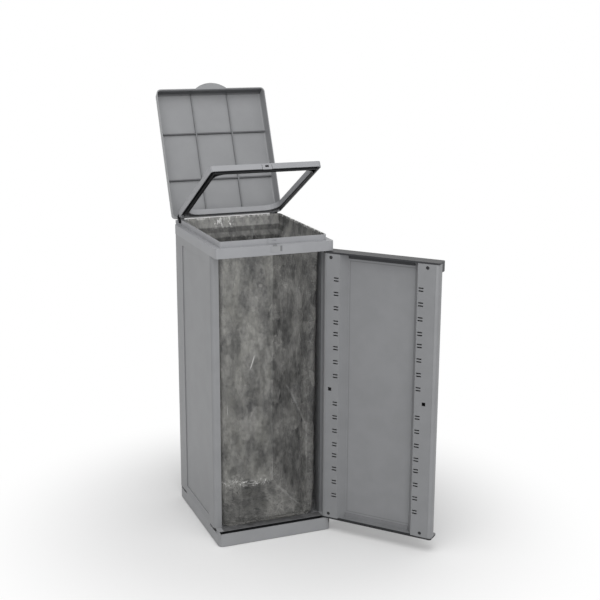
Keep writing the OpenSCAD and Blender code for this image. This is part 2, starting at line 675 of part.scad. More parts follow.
// Sack of thin film: it follows the inside of the cabinet and of the collar
sack_x = in_x - seat;
sack_x_top = cx - collar_t - seat;
sack_y_top = cy - collar_t - seat;
sack_rim = z_collar - collar_t;
sack_r = collar_r - collar_t + over;
fold_share = 0.88;
function sack_low(g, z) = at_z(rr(-sack_x + g, fun_y0 + seat + g, sack_x - g,
    fun_y1 - seat - g, sack_r - g), z);
function sack_high(g, z) = at_z(rr(-sack_x_top + g, -sack_y_top + g, sack_x_top - g,
    sack_y_top - g, sack_r - g), z);
module sack() color("#4b4d52") {
    difference() {
        loft([sack_low(0, floor_z + seat), sack_low(0, z_panel), sack_high(0, fun_z),
            sack_high(0, sack_rim)]);
        loft([sack_low(film_t, floor_z + seat + film_t), sack_low(film_t, z_panel),
            sack_high(film_t, fun_z), sack_high(film_t, sack_rim + over)]);
    }
    let (x = fold_share * cx, y = fold_share * cy, z1 = z_collar + seat + film_t) {
        block(sack_x_top - film_t, -y, sack_rim - over, sack_x_top, y, z1);
        block(sack_x_top - film_t, -y, z1 - film_t, cx + seat + film_t, y, z1);
        block(cx + seat, -y, z1 - hem, cx + seat + film_t, y, z1);
        block(-x, sack_y_top - film_t, sack_rim - over, x, sack_y_top, z1);
        block(-x, sack_y_top - film_t, z1 - film_t, x, cy + seat + film_t, z1);
        block(-x, cy + seat, z1 - hem, x, cy + seat + film_t, z1);
    }
}

base_tray();
side_panel_left();
side_panel_right();
back_panel();
panel_clips();
top_frame();
catch_plate();
lid();
lid_hinge_pin_left();
lid_hinge_pin_right();
ring_cover();
ring_frame();
door_skin();
door_liner();
door_top_cap();
door_bottom_cap();
door_pin_top();
door_pin_bottom();
door_screws();
sack();
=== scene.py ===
import math

import bmesh
import bpy
from mathutils import Matrix, Vector, noise


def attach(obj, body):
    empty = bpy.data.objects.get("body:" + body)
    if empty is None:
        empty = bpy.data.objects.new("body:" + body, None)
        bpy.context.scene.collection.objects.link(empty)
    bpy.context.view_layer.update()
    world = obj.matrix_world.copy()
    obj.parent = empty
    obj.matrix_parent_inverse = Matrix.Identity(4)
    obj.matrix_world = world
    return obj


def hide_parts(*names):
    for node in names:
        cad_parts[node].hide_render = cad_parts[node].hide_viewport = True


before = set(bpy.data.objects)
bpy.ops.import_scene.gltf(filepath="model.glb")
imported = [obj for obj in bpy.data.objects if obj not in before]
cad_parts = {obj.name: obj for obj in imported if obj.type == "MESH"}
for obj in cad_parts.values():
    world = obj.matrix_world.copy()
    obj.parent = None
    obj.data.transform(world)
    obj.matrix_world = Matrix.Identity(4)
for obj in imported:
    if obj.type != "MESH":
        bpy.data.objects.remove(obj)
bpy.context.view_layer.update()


# Camera, fitted to about thirty points of the cabinet. Its turn is yaw, pitch and roll

CAMERA_PLACE = (-1.0727, -3.0488, 1.4686)
CAMERA_TURN = (21.83, 14.14, 0.23)
CAMERA_LENS = 69.72
CAMERA_FILM = 36
CAMERA_REACH = 50


def make_camera():
    yaw, pitch, roll = (math.radians(a) for a in CAMERA_TURN)
    ahead = Vector((math.sin(yaw) * math.cos(pitch), math.cos(yaw) * math.cos(pitch),
                    -math.sin(pitch)))
    right = Vector((math.cos(yaw), -math.sin(yaw), 0))
    up = right.cross(ahead)
    across = right * math.cos(roll) + up * math.sin(roll)
    upright = up * math.cos(roll) - right * math.sin(roll)
    cam = bpy.data.cameras.new("camera")
    cam.lens = CAMERA_LENS
    cam.sensor_width = CAMERA_FILM
    cam.clip_end = CAMERA_REACH
    obj = bpy.data.objects.new("camera", cam)
    turn = Matrix((across, upright, -ahead)).transposed().to_4x4()
    obj.matrix_world = Matrix.Translation(CAMERA_PLACE) @ turn
    bpy.context.scene.collection.objects.link(obj)
    bpy.context.scene.camera = obj


# What the materials share

# The sockets of a Mix node that mixes colours: share, first and second colour, and the outcome
SHARE = 0
FIRST = 6
SECOND = 7
MIXED = 2


def linear(code):
    """sRGB hex to linear RGBA."""
    out = []
    for i in (1, 3, 5):
        c = int(code[i:i + 2], 16) / 255
        out.append(c / 12.92 if c <= 0.04045 else ((c + 0.055) / 1.055) ** 2.4)
    return (*out, 1.0)


def per_mm(size):
    """The scale that makes a pattern's features this many millimetres across."""
    return 1000.0 / size


def add(tree, kind, inputs=None, **settings):
    """A node with its settings and inputs. An input is a value, a socket to link from, or a
    node, whose first output is meant."""
    node = tree.nodes.new(kind)
    for key, value in settings.items():
        setattr(node, key, value)
    for key, value in (inputs or {}).items():
        if isinstance(value, bpy.types.Node):
            value = value.outputs[0]
        if isinstance(value, bpy.types.NodeSocket):
            tree.links.new(value, node.inputs[key])
        else:
            node.inputs[key].default_value = value
    return node


def new_material(name):
    mat = bpy.data.materials.new(name)
    mat.use_nodes = True
    mat.node_tree.nodes.clear()
    return mat, mat.node_tree


def between(tree, value, low, high, soft):
    """A mask: one between low and high, zero outside, with edges this soft."""
    up = add(tree, "ShaderNodeMapRange", {
        "Value": value, "From Min": low - soft, "From Max": low + soft},
        interpolation_type="SMOOTHSTEP")
    down = add(tree, "ShaderNodeMapRange", {
        "Value": value, "From Min": high + soft, "From Max": high - soft},
        interpolation_type="SMOOTHSTEP")
    return add(tree, "ShaderNodeMath", {0: up, 1: down}, operation="MULTIPLY")


def both(tree, one, *others):
    """A mask: where all of these masks hold."""
    for other in others:
        one = add(tree, "ShaderNodeMath", {0: one, 1: other}, operation="MULTIPLY")
    return one


# Plastics and steel

# Millimetres across the mould's spark-eroded grain, the flow marks and the rubbed patches
GRAIN_MM = 0.9
FLOW_MM = 60
RUB_MM = 22
GRAIN_DEEP = 0.00012
TONE_SWING = 0.10
PALE_LIFT = 0.006
DUST = "#b9b6ae"
DUST_LEAST = 0.024
DUST_MOST = 0.16
POLISHED = 0.06
SCUFFED = 0.10
SHADE_SOFT = 0.0003
STEEL = "#a9abad"
STEEL_GRAIN_MM = 0.6


def plastic(name, colour, rough=0.42, grain=0.4, wear=0.18, dust=0.15, sheen=0.35, shades=(),
            turned=None):
    """Injection moulded polypropylene. The spark-eroded mould leaves a fine satin grain, and
    the melt leaves faint cloudy flow marks; use adds rubbed patches and a little dust on what
    faces up. Shades are boxes of painted shade: their ends in metres, a colour and its
    least strength; turned gives the hinge and angle of the part that they are measured on."""
    mat, tree = new_material(name)
    at = add(tree, "ShaderNodeTexCoord").outputs["Object"]
    on_part = at
    if turned:
        on_part = add(tree, "ShaderNodeMapping", {
            "Vector": at, "Location": turned[0], "Rotation": turned[1]}, vector_type="TEXTURE")
    x, y, z = add(tree, "ShaderNodeSeparateXYZ", {0: on_part}).outputs
    fine = add(tree, "ShaderNodeTexNoise", {
        "Vector": at, "Scale": per_mm(GRAIN_MM), "Detail": 3.0})
    flow = add(tree, "ShaderNodeTexNoise", {
        "Vector": at, "Scale": per_mm(FLOW_MM), "Detail": 2.0})
    rub = add(tree, "ShaderNodeTexNoise", {
        "Vector": at, "Scale": per_mm(RUB_MM), "Detail": 5.0, "Roughness": 0.62})

    base = linear(colour)
    dark = tuple(c * (1 - TONE_SWING * wear) for c in base[:3]) + (1,)
    pale = tuple(min(1, c * (1 + TONE_SWING * wear) + PALE_LIFT) for c in base[:3]) + (1,)
    flow = add(tree, "ShaderNodeMapRange", {"Value": flow, "From Min": 0.3, "From Max": 0.7},
               interpolation_type="SMOOTHSTEP")
    tone = add(tree, "ShaderNodeMix", {SHARE: flow, FIRST: dark, SECOND: pale},
               data_type="RGBA").outputs[MIXED]

    normal = add(tree, "ShaderNodeNewGeometry").outputs["Normal"]
    up = add(tree, "ShaderNodeSeparateXYZ", {0: normal}).outputs["Z"]
    lying = add(tree, "ShaderNodeMapRange", {"Value": up, "From Min": 0.6, "From Max": 0.98},
                interpolation_type="SMOOTHSTEP")
    patchy = add(tree, "ShaderNodeMapRange", {
        "Value": rub, "From Min": 0.35, "From Max": 0.7,
        "To Min": DUST_LEAST * dust, "To Max": DUST_MOST * dust})
    tone = add(tree, "ShaderNodeMix", {
        SHARE: both(tree, lying, patchy), FIRST: tone, SECOND: linear(DUST)},
        data_type="RGBA").outputs[MIXED]

    for ends, shade, strength in shades:
        inside = both(tree, *[between(tree, value, low, high, SHADE_SOFT)
                              for value, (low, high) in zip((x, y, z), ends)])
        streaky = add(tree, "ShaderNodeMapRange", {
            "Value": rub, "From Min": 0.3, "From Max": 0.7, "To Min": strength, "To Max": 1.0})
        tone = add(tree, "ShaderNodeMix", {
            SHARE: both(tree, inside, streaky), FIRST: tone, SECOND: linear(shade)},
            data_type="RGBA").outputs[MIXED]

    shine = add(tree, "ShaderNodeMapRange", {
        "Value": rub, "From Min": 0.3, "From Max": 0.75,
        "To Min": rough - POLISHED * wear, "To Max": rough + SCUFFED * wear})
    bump = add(tree, "ShaderNodeBump", {
        "Height": fine, "Strength": grain, "Distance": GRAIN_DEEP})
    bsdf = add(tree, "ShaderNodeBsdfPrincipled", {
        "Base Color": tone, "Roughness": shine, "Normal": bump, "Specular IOR Level": sheen})
    add(tree, "ShaderNodeOutputMaterial", {"Surface": bsdf})
    return mat


def steel(name):
    """Drawn steel pin: plain pale metal with a fine satin grain."""
    mat, tree = new_material(name)
    at = add(tree, "ShaderNodeTexCoord").outputs["Object"]
    fine = add(tree, "ShaderNodeTexNoise", {
        "Vector": at, "Scale": per_mm(STEEL_GRAIN_MM), "Detail": 2.0})
    rough = add(tree, "ShaderNodeMapRange", {"Value": fine, "To Min": 0.28, "To Max": 0.42})
    bsdf = add(tree, "ShaderNodeBsdfPrincipled", {
        "Base Color": linear(STEEL), "Metallic": 1.0, "Roughness": rough})
    add(tree, "ShaderNodeOutputMaterial", {"Surface": bsdf})
    return mat


# The sack's film

FILM_DARK = "#626366"
FILM_PALE = "#c4c3bf"
FILM_CREASE = "#c9cac8"
FILM_GLINT = "#f2f2f0"
FILM_CLEAR = "#e6e6e4"

# How much the film hides on the inner walls and on the stretched open side
WALL_COVER = 0.50
OPEN_COVER = 0.10

# Millimetres across the film's clouds, small crumples, flat facets, the wider net of creases,
# the glints, and the drift that bends them
CLOUD_MM = 48
CRUMPLE_MM = 10
FACET_MM = 21
CREASE_MM = 38
GLINT_MM = 10
DRIFT_MM = 36
DRIFT = 0.02

# Hanging film creases mostly upright, so its patterns are drawn out in height, but not glints
TALL = (1.0, 1.0, 0.45)
TALLISH = (1.0, 1.0, 0.7)
SQUAT = (1.0, 1.0, 1.6)

# Long creases and painted glints of the open side: two ends as (x, z) and a width in metres, a
# strength
CREASES = [((0.043, 0.446), (0.108, 0.316), 0.0042, 0.36),
           ((0.1115, 0.315), (0.1125, 0.150), 0.0034, 0.34),
           ((-0.020, 0.640), (-0.012, 0.520), 0.0022, 0.30),
           ((0.000, 0.560), (-0.0004, 0.175), 0.0016, 0.38),
           ((0.012, 0.150), (0.090, 0.072), 0.0045, 0.26)]
STREAKS = [((-0.0517, 0.541), (-0.0642, 0.503), 0.0030, 1.0),
           ((-0.1243, 0.402), (-0.1247, 0.368), 0.0013, 0.85),
           ((-0.0004, 0.205), (-0.0006, 0.166), 0.0012, 0.60),
           ((0.0816, 0.590), (0.0862, 0.570), 0.0016, 0.55)]
LINE_END = 0.006

# Darker flat patches of the open side: their ends across and up, and how soft they are
PATCHES = [((0.058, 0.110), (0.388, 0.446), 0.004), ((-0.084, -0.054), (0.325, 0.410), 0.012)]

# The side walls lean in towards the back, so a wall ends on a slanted line, further in at its head
LEAN = -0.021
LEAN_HEAD = -0.022
HEAD_LOW = 0.76
HEAD_HIGH = 0.84

# Parts of the film that look different: the part that each lies in, if any, and its spans
# across (x), front to back (y), up (z) or across the leaning walls, as low, high and softness
FAR = 1.0
OPEN_SIDE = -0.1365
WALL_END = 0.1085
FILM_PARTS = {
    "front": (None, [("y", -FAR, OPEN_SIDE, 0.003)]),
    "inner": (None, [("y", OPEN_SIDE, FAR, 0.003)]),
    "side": ("inner", [("lean", WALL_END, FAR, 0.0015)]),
    "rear": (None, [("y", 0.120, FAR, 0.010), ("lean", -FAR, WALL_END, 0.0015)]),
    # Painted shade of a fold down the right wall near the back corner
    "fold": ("side", [("y", 0.095, FAR, 0.012)]),
    "corner": (None, [("lean", 0.1060, 0.1090, 0.0010), ("z", 0.05, 0.78, 0.02),
                      ("y", 0.120, FAR, 0.006)]),
    # Painted shade: two dark bands across the rear wall below the frame, and the shadowed tucks at
    # the left and front of the mouth
    "upper_shade_band": ("rear", [("z", 0.823, 0.838, 0.002)]),
    "lower_shade_band": ("rear", [("z", 0.770, 0.808, 0.003)]),
    "under_rim": ("rear", [("z", 0.770, 0.838, 0.003)]),
    "mouth": ("rear", [("z", 0.790, FAR, 0.010)]),
    "left_tuck_shade": (None, [("x", -FAR, -0.136, 0.006), ("z", 0.80, 0.857, 0.01)]),
    "front_tuck_shade": (None, [("y", -FAR, -0.160, 0.004), ("z", 0.83, FAR, 0.006)]),
    "left_end": ("front", [("x", -FAR, -0.1335, 0.004)]),
    "right_end": ("front", [("x", 0.116, FAR, 0.006)]),
    "low_glints": (None, [("y", 0.105, FAR, 0.01), ("z", 0.03, 0.066, 0.008),
                          ("x", -FAR, 0.04, 0.02)]),
    "high_glints": ("rear", [("z", 0.838, 0.868, 0.006), ("x", -0.064, 0.010, 0.012)]),
    "front_glints": ("front", [("z", 0.158, 0.176, 0.006), ("x", -0.147, -0.006, 0.006)]),
    "hem": (None, [("z", 0.8635, FAR, 0.0015)]),
}
# What each part loses in brightness as painted shade, and what it gains in cover
FILM_LOSSES = {"side": 0.30, "fold": 0.30, "upper_shade_band": 0.45, "lower_shade_band": 0.55,
               "under_rim": 0.35, "mouth": 0.34, "left_tuck_shade": 0.72, "front_tuck_shade": 0.55,
               "left_end": 0.45, "right_end": 0.35, "patches": 0.40}
FILM_GAINS = {"left_end": 0.35, "right_end": 0.25, "patches": 0.30, "hem": 0.35}
# Painted light: the rear wall is made brighter by this share
REAR_LIFT = 0.80


def drawn_line(tree, x, z, line):
    """A thin line on the open side from one end to the other, that dies away at both ends."""
    (x0, z0), (x1, z1), wide, strength = line
    run = math.hypot(x1 - x0, z1 - z0)
    nx, nz = (z1 - z0) / run, (x0 - x1) / run
    off = add(tree, "ShaderNodeMath", {0: x, 1: nx, 2: -(x0 * nx + z0 * nz)},
              operation="MULTIPLY_ADD")
    off = add(tree, "ShaderNodeMath", {0: z, 1: nz, 2: off}, operation="MULTIPLY_ADD")
    near = between(tree, off, -wide / 2, wide / 2, wide * 0.8)
    held = between(tree, z, min(z0, z1), max(z0, z1), LINE_END)
    return add(tree, "ShaderNodeMath", {0: both(tree, near, held), 1: strength},
               operation="MULTIPLY")


def with_lines(tree, mask, lines, x, z, front):
    """A mask with these lines of the open side drawn into it."""
    for line in lines:
        drawn = both(tree, front, drawn_line(tree, x, z, line))
        mask = add(tree, "ShaderNodeMath", {0: drawn, 1: mask}, operation="MAXIMUM")
    return mask


def film_parts(tree, x, y, z):
    """A mask for each part of the film that looks different."""
    head = add(tree, "ShaderNodeMapRange", {
        "Value": z, "From Min": HEAD_LOW, "From Max": HEAD_HIGH},
        interpolation_type="SMOOTHSTEP")
    lean = add(tree, "ShaderNodeMath", {0: z, 1: LEAN, 2: x}, operation="MULTIPLY_ADD")
    lean = add(tree, "ShaderNodeMath", {0: head, 1: LEAN_HEAD, 2: lean},
               operation="MULTIPLY_ADD")
    along = {"x": x, "y": y, "z": z, "lean": lean}
    parts = {}
    for part, (within, spans) in FILM_PARTS.items():
        masks = [between(tree, along[way], low, high, soft) for way, low, high, soft in spans]
        if within:
            masks.append(parts[within])
        parts[part] = both(tree, *masks)
    parts["patches"] = 0.0
    for (x0, x1), (z0, z1), soft in PATCHES:
        patch = both(tree, parts["front"], between(tree, x, x0, x1, soft),
                     between(tree, z, z0, z1, soft))
        parts["patches"] = add(tree, "ShaderNodeMath", {0: patch, 1: parts["patches"]},
                               operation="MAXIMUM")
    return parts


def film_glints(tree, bent, parts):
    """Painted glints: low and high on the rear wall, along the hem and low on the open side."""
    squat = add(tree, "ShaderNodeVectorMath", {0: bent, 1: SQUAT}, operation="MULTIPLY")
    crumple = add(tree, "ShaderNodeTexNoise", {
        "Vector": squat, "Scale": per_mm(GLINT_MM), "Detail": 4.0, "Roughness": 0.55})
    squiggle = both(tree, parts["front_glints"], between(tree, crumple, 0.475, 0.505, 0.010))
    crumple = add(tree, "ShaderNodeMapRange", {
        "Value": crumple, "From Min": 0.50, "From Max": 0.57}, interpolation_type="SMOOTHSTEP")
    spots = add(tree, "ShaderNodeMath", {0: parts["low_glints"], 1: parts["high_glints"]},
                operation="MAXIMUM")
    spots = add(tree, "ShaderNodeMath", {0: parts["hem"], 1: 0.8, 2: spots},
                operation="MULTIPLY_ADD", use_clamp=True)
    return add(tree, "ShaderNodeMath", {0: both(tree, spots, crumple), 1: squiggle},
               operation="MAXIMUM")


def film(name):
    """Blown polythene film, thin and smoky. Handling leaves cloudy patches and flat facets with
    sharp creases between them; painted white glints stand where the light catches a fold."""
    mat, tree = new_material(name)
    at = add(tree, "ShaderNodeTexCoord").outputs["Object"]
    x, y, z = add(tree, "ShaderNodeSeparateXYZ", {0: at}).outputs
    parts = film_parts(tree, x, y, z)

    # Clouds, crumples and facets
    tall = add(tree, "ShaderNodeVectorMath", {0: at, 1: TALL}, operation="MULTIPLY")
    tallish = add(tree, "ShaderNodeVectorMath", {0: at, 1: TALLISH}, operation="MULTIPLY")
    drift = add(tree, "ShaderNodeTexNoise", {
        "Vector": at, "Scale": per_mm(DRIFT_MM), "Detail": 3.0})
    bent = add(tree, "ShaderNodeMix", {SHARE: DRIFT, FIRST: tall, SECOND: drift.outputs["Color"]},
               data_type="RGBA", blend_type="ADD").outputs[MIXED]
    broad = add(tree, "ShaderNodeTexNoise", {
        "Vector": tall, "Scale": per_mm(CLOUD_MM), "Detail": 3.0})
    broad = add(tree, "ShaderNodeMapRange", {
        "Value": broad, "From Min": 0.36, "From Max": 0.64}, interpolation_type="SMOOTHSTEP")
    small = add(tree, "ShaderNodeTexNoise", {
        "Vector": tallish, "Scale": per_mm(CRUMPLE_MM), "Detail": 4.0, "Roughness": 0.6})
    small = add(tree, "ShaderNodeMapRange", {
        "Value": small, "From Min": 0.32, "From Max": 0.68}, interpolation_type="SMOOTHSTEP")
    facet = add(tree, "ShaderNodeTexVoronoi", {"Vector": bent, "Scale": per_mm(FACET_MM)})
    facet = add(tree, "ShaderNodeSeparateColor", {0: facet.outputs["Color"]})
    cloud = add(tree, "ShaderNodeMath", {0: broad, 1: 0.36}, operation="MULTIPLY")
    cloud = add(tree, "ShaderNodeMath", {0: small, 1: 0.28, 2: cloud}, operation="MULTIPLY_ADD")
    cloud = add(tree, "ShaderNodeMath", {0: facet, 1: 0.36, 2: cloud}, operation="MULTIPLY_ADD")
    base = add(tree, "ShaderNodeMix", {
        SHARE: cloud, FIRST: linear(FILM_DARK), SECOND: linear(FILM_PALE)},
        data_type="RGBA").outputs[MIXED]

    # The light reaches some parts less, and the rear wall more
    level = add(tree, "ShaderNodeMath", {0: parts["rear"], 1: REAR_LIFT, 2: 1.0},
                operation="MULTIPLY_ADD")
    for part, loss in FILM_LOSSES.items():
        keep = add(tree, "ShaderNodeMath", {0: parts[part], 1: -loss, 2: 1.0},
                   operation="MULTIPLY_ADD")
        level = both(tree, level, keep)
    base = add(tree, "ShaderNodeVectorMath", {0: base, "Scale": level}, operation="SCALE")

    # Pale creases, long ones where the open side shows them
    edges = add(tree, "ShaderNodeTexVoronoi", {"Vector": bent, "Scale": per_mm(CREASE_MM)},
                feature="DISTANCE_TO_EDGE")
    edges = add(tree, "ShaderNodeMapRange", {
        "Value": edges, "From Min": 0.045, "From Max": 0.0}, interpolation_type="SMOOTHSTEP")
    crease = both(tree, edges, small)
    pale = add(tree, "ShaderNodeMath", {0: crease, 1: 0.30}, operation="MULTIPLY")
    pale = add(tree, "ShaderNodeMath", {0: parts["corner"], 1: 0.40, 2: pale},
               operation="MULTIPLY_ADD")
    long = with_lines(tree, 0.0, CREASES, x, z, parts["front"])
    pale = add(tree, "ShaderNodeMath", {0: pale, 1: long}, operation="MAXIMUM", use_clamp=True)
    base = add(tree, "ShaderNodeMix", {SHARE: pale, FIRST: base, SECOND: linear(FILM_CREASE)},
               data_type="RGBA").outputs[MIXED]

    # Painted glints, and four short streaks of them
    spots = film_glints(tree, bent, parts)
    spots = with_lines(tree, spots, STREAKS, x, z, parts["front"])
    base = add(tree, "ShaderNodeMix", {SHARE: spots, FIRST: base, SECOND: linear(FILM_GLINT)},
               data_type="RGBA").outputs[MIXED]

    height = add(tree, "ShaderNodeMath", {0: small, 1: 0.5, 2: facet}, operation="MULTIPLY_ADD")
    height = add(tree, "ShaderNodeMath", {0: crease, 1: 0.8, 2: height},
                 operation="MULTIPLY_ADD")
    bump = add(tree, "ShaderNodeBump", {"Height": height, "Strength": 0.55, "Distance": 0.0016})
    skin = add(tree, "ShaderNodeBsdfPrincipled", {
        "Base Color": base, "Roughness": 0.30, "Normal": bump, "Specular IOR Level": 0.45})
    through = add(tree, "ShaderNodeBsdfTranslucent", {"Color": base, "Normal": bump})
    cloudy = add(tree, "ShaderNodeMixShader", {0: 0.22, 1: skin, 2: through})
    clear = add(tree, "ShaderNodeBsdfTransparent", {"Color": linear(FILM_CLEAR)})

    # How much the film hides: least on the stretched open side, most where it is creased
    facing = add(tree, "ShaderNodeLayerWeight", {"Blend": 0.3, "Normal": bump}).outputs["Facing"]
    cover = add(tree, "ShaderNodeMath", {
        0: parts["front"], 1: OPEN_COVER - WALL_COVER, 2: WALL_COVER}, operation="MULTIPLY_ADD")
    gains = [(facing, 0.35), (cloud, 0.30), (long, 0.5)]
    gains += [(parts[part], gain) for part, gain in FILM_GAINS.items()]
    for mask, gain in gains:
        cover = add(tree, "ShaderNodeMath", {0: mask, 1: gain, 2: cover},
                    operation="MULTIPLY_ADD", use_clamp=True)
    cover = add(tree, "ShaderNodeMath", {0: cover, 1: spots}, operation="MAXIMUM")
    mixed = add(tree, "ShaderNodeMixShader", {0: cover, 1: clear, 2: cloudy})
    add(tree, "ShaderNodeOutputMaterial", {"Surface": mixed})
    return mat


# Boxes of painted shade on the mouldings, for plastic()

# The trough behind the base's front edge lies in deep shade, and painted shade darkens the sill
TROUGH = (((-0.1640, 0.1700), (-0.1930, -0.1752), (0.0195, 0.0377)), "#17181a", 1.0)
SILL_SHADE = (((-0.1490, 0.1490), (-0.1752, -0.1400), (0.0376, 0.0385)), "#4a4a4b", 0.60)
# Painted shade darkens the walls of the slots in the door's two stiles, cut through to its hollow
DOOR_TURN = ((0.1635, -0.1750, 0), (0, 0, math.radians(131)))
SLOT_WALL_SHADE = ((((-0.2894, -0.2750), (0.0190, 0.0240), (0.0400, 0.8200)), "#101113", 1.0),
              (((-0.0420, -0.0276), (0.0190, 0.0240), (0.0400, 0.8200)), "#101113", 1.0))
# Painted shade lines stand for a shallow step round the field of the door's recess
FIELD_STEP_SHADE = ((((-0.0665, -0.0648), (-0.0040, 0.0150), (0.0640, 0.7990)), "#6b6c6e", 1.0),
              (((-0.2690, -0.0648), (-0.0040, 0.0150), (0.7980, 0.7998)), "#6b6c6e", 1.0),
              (((-0.2690, -0.0648), (-0.0040, 0.0150), (0.0630, 0.0646)), "#6b6c6e", 1.0))
# Painted shade darkens the bottom cap round its edge only, below its upper face
CAP_EDGE_SHADE = ((((-0.5, 0.5), (-0.1, 0.1), (0.0300, 0.0437)), "#1f2022", 1.0),
            (((-0.2850, -0.0400), (0.0185, 0.0300), (0.0300, 0.0460)), "#1f2022", 1.0))
# Painted shade darkens the door's hollow where the slots look into it
HOLLOW_SHADE = ((((-0.2950, -0.2690), (-0.0180, 0.0225), (0.0400, 0.8200)), "#101113", 1.0),
          (((-0.0480, -0.0220), (-0.0180, 0.0225), (0.0400, 0.8200)), "#101113", 1.0))
# Shade gathers along the lid's ribs and inside its front rim
LID_TURN = ((0, 0.2045, 0.8570), (math.radians(-113.2), 0, 0))
LID_SHADES = ((((-0.1640, 0.1640), (-0.2745, -0.2693), (0.0200, 0.0276)), "#525355", 0.9),
              (((-0.1640, 0.1640), (-0.1325, -0.1273), (0.0200, 0.0276)), "#525355", 0.9),
              (((-0.0588, -0.0548), (-0.3950, -0.0200), (0.0200, 0.0276)), "#737476", 0.7),
              (((0.0548, 0.0588), (-0.3950, -0.0200), (0.0200, 0.0276)), "#737476", 0.7),
              (((-0.1640, 0.1640), (-0.4005, -0.3900), (0.0000, 0.0225)), "#4c4d4f", 0.9),
              (((-0.1640, 0.1640), (-0.3986, -0.3925), (0.0218, 0.0274)), "#58595b", 0.9))
# The inner face of the stile behind the door's hinge lies in shade too
STILE = (((0.1300, 0.1520), (-0.1940, -0.1300), (0.0386, 0.8240)), "#505153", 0.8)


def dress(names, mat):
    for name in names:
        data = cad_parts[name].data
        data.materials.clear()
        data.materials.append(mat)


make_camera()
body_grey = plastic("moulded_polypropylene_grey", "#858688")
base_grey = plastic("moulded_polypropylene_base", "#8c8d8f", shades=(TROUGH, SILL_SHADE))
stile_grey = plastic("moulded_polypropylene_stile", "#858688", shades=(STILE,))
frame_grey = plastic("moulded_polypropylene_light", "#919295")
liner_grey = plastic("moulded_polypropylene_inner", "#7f8082", rough=0.5,
                     shades=SLOT_WALL_SHADE + FIELD_STEP_SHADE, turned=DOOR_TURN)
cap_dark = plastic("moulded_polypropylene_dark", "#26272a", rough=0.45)
cap_grey = plastic("moulded_polypropylene_cap", "#77787a", rough=0.45, shades=CAP_EDGE_SHADE,
                   turned=DOOR_TURN)
door_grey = plastic("moulded_polypropylene_door", "#858688", shades=HOLLOW_SHADE, turned=DOOR_TURN)
lid_grey = plastic("moulded_polypropylene_lid", "#88898b", shades=LID_SHADES, turned=LID_TURN)
# The latch pocket's square is a little darker than the fascia as painted shade, and a dark grey of
# painted shade stands for its slot and notch
catch_grey = plastic("moulded_polypropylene_catch", "#8f9092")
catch_painted_shade = plastic("painted_shade_grey", "#6c6d6f", rough=0.5)
black = plastic("moulded_polypropylene_black", "#1d1e20", rough=0.45, wear=0.3, dust=0.2)
pin_steel = steel("drawn_steel_pin")

dress(["base_tray"], base_grey)
dress(["side_panel_right"], stile_grey)
dress(["side_panel_left", "back_panel"], body_grey)
dress(["door_skin"], door_grey)
dress(["lid"], lid_grey)
dress(["top_frame", "catch_plate", "ring_cover"], frame_grey)
dress(["door_liner"], liner_grey)
dress(["door_top_cap"], cap_dark)
dress(["door_bottom_cap"], cap_grey)
# The door's screws are dressed black as painted shade, for the dark holes they sit in
dress(["ring_frame", "panel_clips", "door_screws"], black)
dress(["lid_hinge_pin_left", "lid_hinge_pin_right", "door_pin_top", "door_pin_bottom"], pin_steel)


def new_piece(name, shape, mat):
    """The finished shape as an object of one material."""
    mesh = bpy.data.meshes.new(name)
    shape.to_mesh(mesh)
    shape.free()
    mesh.materials.append(mat)
    obj = bpy.data.objects.new(name, mesh)
    bpy.context.scene.collection.objects.link(obj)
    return obj


# The latch's pocket on the fascia: a shallow square, painted a little darker for its shade, with
# dark blocks of painted shade standing for a slot and notch in it. The middle and size of each
# block and the rounding of its edges, in metres

POCKET = ((0.0030, -0.1949, 0.8419), (0.0335, 0.0016, 0.0190), 0.0005)
POCKET_RIM = 0.0014
POCKET_DEEP = 0.0004
SLOT = ((0.0158, -0.1949, 0.8420), (0.0055, 0.0013, 0.0150), 0.0003)
NOTCH = ((-0.0020, -0.1925, 0.8508), (0.0125, 0.0062, 0.0038), 0.0002)


def bevelled_block(shape, middle, size, round_by):
    """A block with rounded edges; gives the face that looks out to the front."""
    made = bmesh.ops.create_cube(shape, size=1.0)["verts"]
    bmesh.ops.scale(shape, vec=size, verts=made)
    bmesh.ops.translate(shape, vec=middle, verts=made)
    edges = list({edge for vert in made for edge in vert.link_edges})
    bmesh.ops.bevel(shape, geom=edges, offset=round_by, segments=2, profile=0.5,
                    affect="EDGES", material=-1)
    shape.normal_update()
    return min(shape.faces, key=lambda face: (round(face.normal.y, 3), -face.calc_area()))


def make_catch_pocket():
    shape = bmesh.new()
    face = bevelled_block(shape, *POCKET)
    bmesh.ops.inset_region(shape, faces=[face], thickness=POCKET_RIM, depth=-POCKET_DEEP)
    pocket = new_piece("catch_pocket", shape, catch_grey)
    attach(pocket, "cabinet")

    # Painted shade: dark blocks for the pocket's slot and notch
    shape = bmesh.new()
    bevelled_block(shape, *SLOT)
    bevelled_block(shape, *NOTCH)
    recess_shade = new_piece("catch_recess_shade", shape, catch_painted_shade)
    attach(recess_shade, "cabinet")


make_catch_pocket()


# The sack: a thin shell drawn up from its floor ring by ring, then folded out over the collar.
# All its lengths are in millimetres

